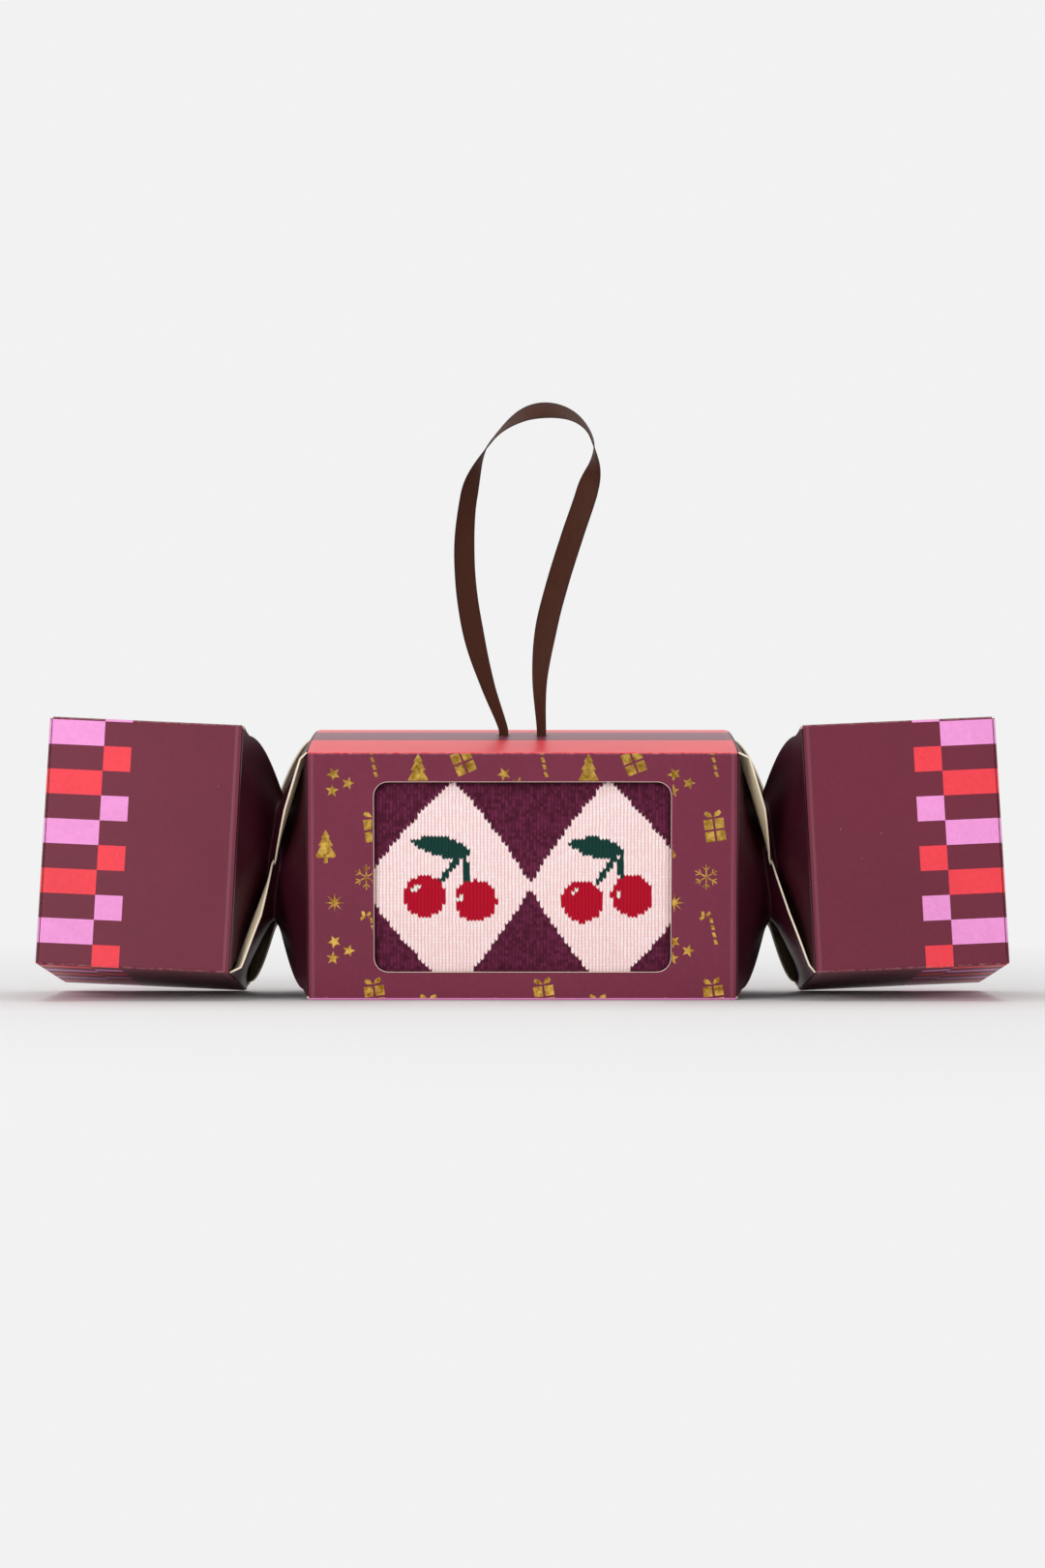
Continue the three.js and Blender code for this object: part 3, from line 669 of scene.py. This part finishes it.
diamond_middle, diamond_apart, diamond_height = 2.2, 21.6, -3.2
from_middle = calc(tree, "SUBTRACT", stitch_x, diamond_middle)
from_middle = calc(tree, "ABSOLUTE", from_middle)
past = calc(tree, "SUBTRACT", from_middle, diamond_apart)
outer = calc(tree, "MULTIPLY", past, 1 / 25.5)
inner = calc(tree, "MULTIPLY", past, -1 / 21.8)
sideways = calc(tree, "MAXIMUM", outer, inner)
sideways = calc(tree, "POWER", sideways, 1.1)
upward = calc(tree, "ADD", stitch_z, -diamond_height)
upward = calc(tree, "WRAP", upward, 29.3, -29.3)
upward = calc(tree, "ABSOLUTE", upward)
upward = calc(tree, "MULTIPLY", upward, 1 / 29.6)
upward = calc(tree, "POWER", upward, 1.1)
diamond = calc(tree, "ADD", sideways, upward)
diamond = calc(tree, "LESS_THAN", diamond, 1.0)
fleck = add(tree, "TexWhiteNoise", {"Vector": stitch}, noise_dimensions="3D")
fleck = fleck.outputs["Value"]
ground = mix(tree, fleck, linear("#470F26"), linear("#682242"))
rose = mix(tree, fleck, linear("#FFDCDC"), linear("#FFE8E7"))
colour = mix(tree, diamond, ground, rose)
# Each knitted figure is the set of stitches whose distances to two points add up to less than its length
for yarn, marks in (
    ("#0C3A33", [(-31.0, 9.6, -14.0, 6.4, 0.0), (12.7, 9.0, 29.4, 6.4, 0.0)]),
    ("#0C3A33", [(-16.6, 6.2, -24.2, -3.0, 0.85), (-15.9, 6.2, -15.5, -4.5, 0.75),
                 (27.0, 6.2, 19.6, -4.2, 0.85), (27.4, 6.2, 27.9, -4.0, 0.75)]),
    ("#B60326", [(-27.5, -5.9, -27.5, -5.9, 5.9), (-13.2, -7.25, -13.2, -7.25, 5.9),
                 (16.8, -7.5, 16.8, -7.5, 5.9), (30.8, -5.8, 30.8, -5.8, 5.9)]),
    ("#E9E9DF", [(-30.9, -4.2, -28.9, -2.8, 0.65), (-17.7, -7.4, -17.0, -5.4, 0.8),
                 (13.3, -5.7, 15.2, -4.2, 0.65), (26.5, -6.4, 27.2, -4.4, 0.8)]),
):
    mark = None
    for x1, z1, x2, z2, half_width in marks:
        if not half_width:
            # A leaf is where two large circles overlap, so both its ends are points
            along, tall = Vector((x2 - x1, 0, z2 - z1)), 2.9
            radius = ((along.length / 2) ** 2 + tall ** 2) / (2 * tall)
            aside = Vector((-along.z, 0, along.x)).normalized() * (radius - tall)
            middle = Vector((x1 + x2, 0, z1 + z2)) / 2
            one = add(tree, "VectorMath", {0: stitch, 1: middle + aside}, operation="DISTANCE")
            two = add(tree, "VectorMath", {0: stitch, 1: middle - aside}, operation="DISTANCE")
            both = calc(tree, "MAXIMUM", one.outputs["Value"], two.outputs["Value"])
            inside = calc(tree, "LESS_THAN", both, radius)
            mark = calc(tree, "MAXIMUM", mark, inside) if mark else inside
            continue
        one = add(tree, "VectorMath", {0: stitch, 1: (x1, 0, z1)}, operation="DISTANCE")
        two = add(tree, "VectorMath", {0: stitch, 1: (x2, 0, z2)}, operation="DISTANCE")
        both = calc(tree, "ADD", one.outputs["Value"], two.outputs["Value"])
        length = 2 * math.hypot(math.hypot(x2 - x1, z2 - z1) / 2, half_width)
        inside = calc(tree, "LESS_THAN", both, length)
        mark = calc(tree, "MAXIMUM", mark, inside) if mark else inside
    colour = mix(tree, mark, colour, linear(yarn))
# A ridge to each column and a shallower groove between rows give the stitches their relief, and darken the
# colour in the grooves as painted shade
ridge = calc(tree, "MULTIPLY", column, math.pi)
ridge = calc(tree, "SINE", ridge)
ridge = calc(tree, "ABSOLUTE", ridge)
row = calc(tree, "FRACT", rise)
row = calc(tree, "MULTIPLY", row, math.pi)
row = calc(tree, "SINE", row)
row = add(tree, "MapRange", {"Value": row, "To Min": 0.5, "To Max": 1.0})
height = calc(tree, "MULTIPLY", ridge, row)
height = calc(tree, "POWER", height, 0.6)
# Painted shade: the colour falls to 0.58 of itself where the stitch height is low
shade = add(tree, "MapRange", {"Value": height, "To Min": 0.58, "To Max": 1.1})
fuzz = add(tree, "TexNoise", {"Vector": local, "Scale": 6.0, "Detail": 4.0})
fuzz = add(tree, "MapRange", {"Value": fuzz, "From Min": 0.3, "From Max": 0.7, "To Min": 0.88, "To Max": 1.1})
shade = calc(tree, "MULTIPLY", shade, fuzz)
colour = add(tree, "VectorMath", {0: colour, "Scale": shade}, operation="SCALE")
relief = add(tree, "Bump", {"Height": height, "Strength": 0.55, "Distance": 0.0003})
shader = add(tree, "BsdfPrincipled", {"Base Color": colour, "Roughness": 0.85, "IOR": 1.45, "Normal": relief,
                                      "Specular IOR Level": 0.2, "Sheen Weight": 0.1, "Sheen Roughness": 0.4})
add(tree, "OutputMaterial", {"Surface": shader})


def node_box(name, frame_matrix):
    """Lowest and highest corner of a CAD node along the axes of the box that it lies in, in metres."""
    back = frame_matrix.inverted()
    points = [back @ vertex.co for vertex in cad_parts[name].data.vertices]
    return [Vector([pick(p[k] for p in points) for k in range(3)]) for pick in (min, max)]


for node, face in (("sock_front", -1), ("sock_back", 1)):
    low, high = node_box(node, middle_frame)
    # The soft pack presses up to its panel, 0.7 mm further than the stiff CAD pack
    (low if face < 0 else high).y += face * 0.0007
    middle, half = (low + high) / 2, (high - low) / 2
    shape = bmesh.new()
    bmesh.ops.create_cube(shape, size=2.0)
    bmesh.ops.subdivide_edges(shape, edges=shape.edges, cuts=15, use_grid_fill=True)
    for vertex in shape.verts:
        # A pack with flat faces and round edges: the sixteenth-power curve between a box and an egg
        c = vertex.co
        c /= (abs(c.x) ** 16 + abs(c.y) ** 16 + abs(c.z) ** 16) ** (1 / 16)
        c.x, c.y, c.z = c.x * (half.x - 0.0006), c.y * (half.y - 0.0004), c.z * (half.z - 0.0006)
    mesh = bpy.data.meshes.new(node + "_pack")
    shape.to_mesh(mesh)
    shape.free()
    mesh.materials.append(knit)
    sock = bpy.data.objects.new("knitted_" + node, mesh)
    scene.collection.objects.link(sock)
    # The folded fabric springs out against the box: a short cloth run with air pressure inside
    remesh = sock.modifiers.new("remesh", "REMESH")
    remesh.mode = "VOXEL"
    remesh.voxel_size = 0.003
    bpy.context.view_layer.objects.active = sock
    sock.select_set(True)
    bpy.ops.object.modifier_apply(modifier="remesh")
    before = [vertex.co.copy() for vertex in sock.data.vertices]
    cloth = sock.modifiers.new("cloth", "CLOTH")
    cloth.settings.use_pressure = True
    cloth.settings.uniform_pressure_force = 4
    cloth.settings.effector_weights.gravity = 0
    for step in range(1, 21):
        scene.frame_set(step)
    sprung = sock.evaluated_get(bpy.context.evaluated_depsgraph_get()).data
    after = [vertex.co.copy() for vertex in sprung.vertices]
    sock.modifiers.remove(cloth)
    scene.frame_set(1)
    for vertex, start, end in zip(sock.data.vertices, before, after):
        move = end - start
        move.length = min(move.length, 0.002)
        reached = start + move
        vertex.co = Vector([max(-half[k], min(half[k], reached[k])) for k in range(3)])
    smooth = sock.modifiers.new("smooth", "SUBSURF")
    smooth.levels = smooth.render_levels = 1
    bpy.context.view_layer.objects.active = sock
    bpy.ops.object.modifier_apply(modifier="smooth")
    for vertex in sock.data.vertices:
        # Folds: four level creases run round the sides, where the layers of the folded sock meet
        c = vertex.co
        side_share = max(abs(c.x) / half.x, abs(c.y) / half.y if c.y * face < 0 else 0.0)
        rim = max(0.0, (side_share - 0.82) / 0.18)
        dip = sum(math.exp(-((c.z / half.z - level) / 0.05) ** 2) for level in (-0.6, -0.2, 0.2, 0.6))
        c.x -= math.copysign(0.0011 * dip * min(rim, 1.0), c.x) if abs(c.x) / half.x > 0.82 else 0.0
        c.y += 0.00025 * noise.noise(Vector((c.x * 90, 0.0, c.z * 90))) * -face
    for polygon in sock.data.polygons:
        polygon.use_smooth = True
    sock.data.transform(middle_frame @ Matrix.Translation(middle))
    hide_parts(node)
    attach(sock, "centre")


# The card between the two socks: a grey board insert, die cut, that keeps the packs square.
card_board, tree = empty_material("grey_recycled_card")
place = add(tree, "TexCoord", {})
flecks = add(tree, "TexNoise", {"Vector": place.outputs["Object"], "Scale": 1600.0, "Detail": 5.0,
                                "Roughness": 0.7})
tone = mix(tree, flecks, linear("#8F8A82"), linear("#C6C1B6"))
relief = add(tree, "Bump", {"Height": flecks, "Strength": 0.4, "Distance": 0.0001})
shader = add(tree, "BsdfPrincipled", {"Base Color": tone, "Roughness": 0.9, "IOR": 1.5, "Normal": relief})
add(tree, "OutputMaterial", {"Surface": shader})
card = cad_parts["sock_card"]
for index in range(len(card.material_slots)):
    card.material_slots[index].material = card_board


# The hanging ribbon: brown woven satin, a quarter inch wide, that leaves the top panel through two holes. It
# is gathered narrow in the holes and turns edge-on once on its way over the loop.
def woven_satin(name):
    """Polyester satin: the soft band of light that long floats give along the ribbon is painted into its
    colour as lighter streaks, a painted sheen, and ribs of 0.5 mm cross it, drawn twice as coarse as real so
    that they show."""
    made, tree = empty_material(name)
    place = add(tree, "UVMap", {})
    axes = add(tree, "SeparateXYZ", {0: place})
    rib = calc(tree, "MULTIPLY", axes.outputs[1], 2 * math.pi / 0.5)
    rib = calc(tree, "SINE", rib)
    rib = add(tree, "MapRange", {"Value": rib, "From Min": -1.0, "To Min": 0.0, "To Max": 1.0})
    # The selvedge on both edges is woven tighter and looks a little darker
    edge = calc(tree, "ABSOLUTE", axes.outputs[0])
    edge = add(tree, "MapRange", {"Value": edge, "From Min": 2.5, "From Max": 2.9})
    # Painted sheen: fine lighter and darker streaks that run along the ribbon
    painted_sheen_streak = add(tree, "Mapping", {"Vector": place, "Scale": (6.0, 0.25, 1.0)})
    painted_sheen_streak = add(tree, "TexNoise", {"Vector": painted_sheen_streak, "Scale": 1.0, "Detail": 3.0})
    tone = mix(tree, painted_sheen_streak, linear("#30140A"), linear("#4C2614"))
    share = calc(tree, "MULTIPLY", edge, 0.5)
    tone = mix(tree, share, tone, linear("#28140F"))
    height = calc(tree, "ADD", rib, painted_sheen_streak)
    relief = add(tree, "Bump", {"Height": height, "Strength": 0.35, "Distance": 0.00008})
    shader = add(tree, "BsdfPrincipled", {"Base Color": tone, "Roughness": 0.55, "IOR": 1.45,
                                          "Normal": relief, "Specular IOR Level": 0.16})
    add(tree, "OutputMaterial", {"Surface": shader})
    return made


satin_ribbon = woven_satin("woven_brown_satin")
ribbon_height, ribbon_reach, ribbon_rise, ribbon_lean = 93.0, 20.7, 1.2, 8.0
ribbon_width, ribbon_gather, ribbon_thickness, hole_pitch = 6.4, 0.42, 0.3, 10.9
ribbon_route = [
    (-0.483, 0.151), (-0.667, 0.296), (-0.792, 0.473), (-0.797, 0.645), (-0.686, 0.79), (-0.42, 0.909),
    (0.019, 0.986), (0.386, 1), (0.725, 0.978), (0.947, 0.925), (1, 0.844), (0.894, 0.747), (0.691, 0.613),
    (0.493, 0.473), (0.333, 0.333), (0.242, 0.172)]
ribbon_turns = [0, 26, 22, 26, 42, 93, 132, 96, 15, 4, 10, 18, 0]


def smooth_route(points, steps):
    """Even points along the centripetal Catmull-Rom curve through the given ones."""
    ends = [points[0] * 2 - points[1], *points, points[-1] * 2 - points[-2]]
    fine = []
    for k in range(1, len(ends) - 2):
        a, b, c, d = ends[k - 1:k + 3]
        knots = [0.0]
        for first, last in ((a, b), (b, c), (c, d)):
            knots.append(knots[-1] + max((last - first).length, 1e-9) ** 0.5)
        for i in range(24):
            t = knots[1] + (knots[2] - knots[1]) * i / 24
            p1 = a.lerp(b, (t - knots[0]) / (knots[1] - knots[0]))
            p2 = b.lerp(c, (t - knots[1]) / (knots[2] - knots[1]))
            p3 = c.lerp(d, (t - knots[2]) / (knots[3] - knots[2]))
            q1 = p1.lerp(p2, (t - knots[0]) / (knots[2] - knots[0]))
            q2 = p2.lerp(p3, (t - knots[1]) / (knots[3] - knots[1]))
            fine.append(q1.lerp(q2, (t - knots[1]) / (knots[2] - knots[1])))
    fine.append(points[-1])
    lengths = [0.0]
    for first, last in zip(fine, fine[1:]):
        lengths.append(lengths[-1] + (last - first).length)
    even, k = [], 0
    for i in range(steps + 1):
        wanted = lengths[-1] * i / steps
        while k < len(lengths) - 2 and lengths[k + 1] < wanted:
            k += 1
        share = (wanted - lengths[k]) / max(lengths[k + 1] - lengths[k], 1e-9)
        even.append(fine[k].lerp(fine[k + 1], share))
    return even, lengths[-1]


def strap(name, line, length, width_at, turn_at, level, frame_matrix, lanes=6):
    """A flat ribbon along a line in millimetres, turned about it, with its own UVs in millimetres."""
    steps = len(line) - 1
    rings, marks = [], []
    for i, point in enumerate(line):
        tangent = (line[min(i + 1, steps)] - line[max(i - 1, 0)]).normalized()
        aside = level(i, tangent)
        ahead = tangent.cross(aside).normalized()
        turn, width = turn_at(i / steps), width_at(i / steps)
        flat = aside * math.cos(turn) + ahead * math.sin(turn)
        face = tangent.cross(flat).normalized()
        ring, mark = [], []
        for k in range(lanes + 1):
            q = k / lanes - 0.5
            # The ribbon cups slightly across its width, as satin does off the roll
            cup = (q * q * 4 - 0.33) * 0.16
            for skin in (1, -1):
                ring.append(point + flat * (q * width) + face * (cup + skin * ribbon_thickness / 2))
                mark.append((q * width, i / steps * length))
        order = [2 * k for k in range(lanes + 1)] + [2 * k + 1 for k in range(lanes, -1, -1)]
        rings.append([ring[k] for k in order])
        marks.append([mark[k] for k in order])
    around = len(rings[0])
    vertices = [frame_matrix @ (p * mm) for ring in rings for p in ring]
    faces = []
    for i in range(steps):
        for k in range(around):
            after = (k + 1) % around
            faces.append((i * around + k, i * around + after, (i + 1) * around + after, (i + 1) * around + k))
    faces += [tuple(range(around - 1, -1, -1)), tuple(steps * around + k for k in range(around))]
    mesh = bpy.data.meshes.new(name)
    mesh.from_pydata(vertices, [], faces)
    layer = mesh.uv_layers.new(name="UVMap")
    flat_marks = [m for ring in marks for m in ring]
    for loop in mesh.loops:
        layer.data[loop.index].uv = flat_marks[loop.vertex_index]
    mesh.polygons.foreach_set("use_smooth", [True] * len(faces))
    mesh.set_sharp_from_angle(angle=math.radians(55))
    mesh.materials.append(satin_ribbon)
    return mesh


foot = hole_pitch / 2
points = [Vector((-foot, 0, -0.5)), Vector((-foot, 0, ribbon_rise))]
points += [Vector((out * ribbon_reach, ribbon_lean * up ** 2, up * ribbon_height))
           for out, up in ribbon_route]
points += [Vector((foot, 0, ribbon_rise)), Vector((foot, 0, -0.5))]
line, ribbon_length = smooth_route(points, 260)


def loop_turn(share):
    spot = share * (len(ribbon_turns) - 1)
    low = min(int(spot), len(ribbon_turns) - 2)
    blend = spot - low
    blend = blend * blend * (3 - 2 * blend)
    return math.radians(ribbon_turns[low] + (ribbon_turns[low + 1] - ribbon_turns[low]) * blend)


def loop_width(share):
    near = min(min(share, 1 - share) / 0.16, 1.0)
    near = near * near * (3 - 2 * near)
    return ribbon_width * (ribbon_gather + (1 - ribbon_gather) * near)


def loop_level(i, tangent):
    return Vector((-tangent.z, 0, tangent.x)).normalized()


ribbon_base = middle_frame @ Matrix.Translation(Vector((0, 0, 36.7)) * mm)
mesh = strap("satin_loop", line, ribbon_length, loop_width, loop_turn, loop_level, ribbon_base)
satin_loop = bpy.data.objects.new("satin_loop", mesh)
scene.collection.objects.link(satin_loop)
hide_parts("ribbon_loop")
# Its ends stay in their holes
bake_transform(satin_loop)

# The knot under the top panel: both ends of the ribbon come down through their holes and cross in a
# flattened overhand knot.
low, high = node_box("ribbon_knot", middle_frame)
knot_low, knot_high = low / mm, high / mm
knot_middle = Vector((0, (knot_low.y + knot_high.y) / 2, knot_low.z + 2.3))
route = [Vector((-foot, 0, 36.1)), Vector((-foot, 0, 35.0)), Vector((-4.6, 0.2, 33.6))]
for k in range(0, 25):
    a = math.pi * 2 * k / 24 * 0.94 + 0.35
    route.append(knot_middle + Vector((-math.cos(a) * (2.6 + 0.9 * math.cos(1.5 * a)) * 1.05,
                                       math.sin(a) * (1.7 + 0.7 * math.cos(1.5 * a)),
                                       1.15 * math.sin(1.5 * a) + 0.1)))
route += [Vector((4.6, -0.2, 33.6)), Vector((foot, 0, 35.0)), Vector((foot, 0, 36.1))]
line, knot_length = smooth_route(route, 160)


def knot_level(i, tangent):
    return tangent.cross(Vector((0.3, 0.5, 0.8))).normalized()


mesh = strap("satin_knot", line, knot_length, lambda share: 2.3, lambda share: 5 * share, knot_level,
             middle_frame, 4)
satin_knot = bpy.data.objects.new("satin_knot", mesh)
scene.collection.objects.link(satin_knot)
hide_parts("ribbon_knot")
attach(satin_knot, "centre")
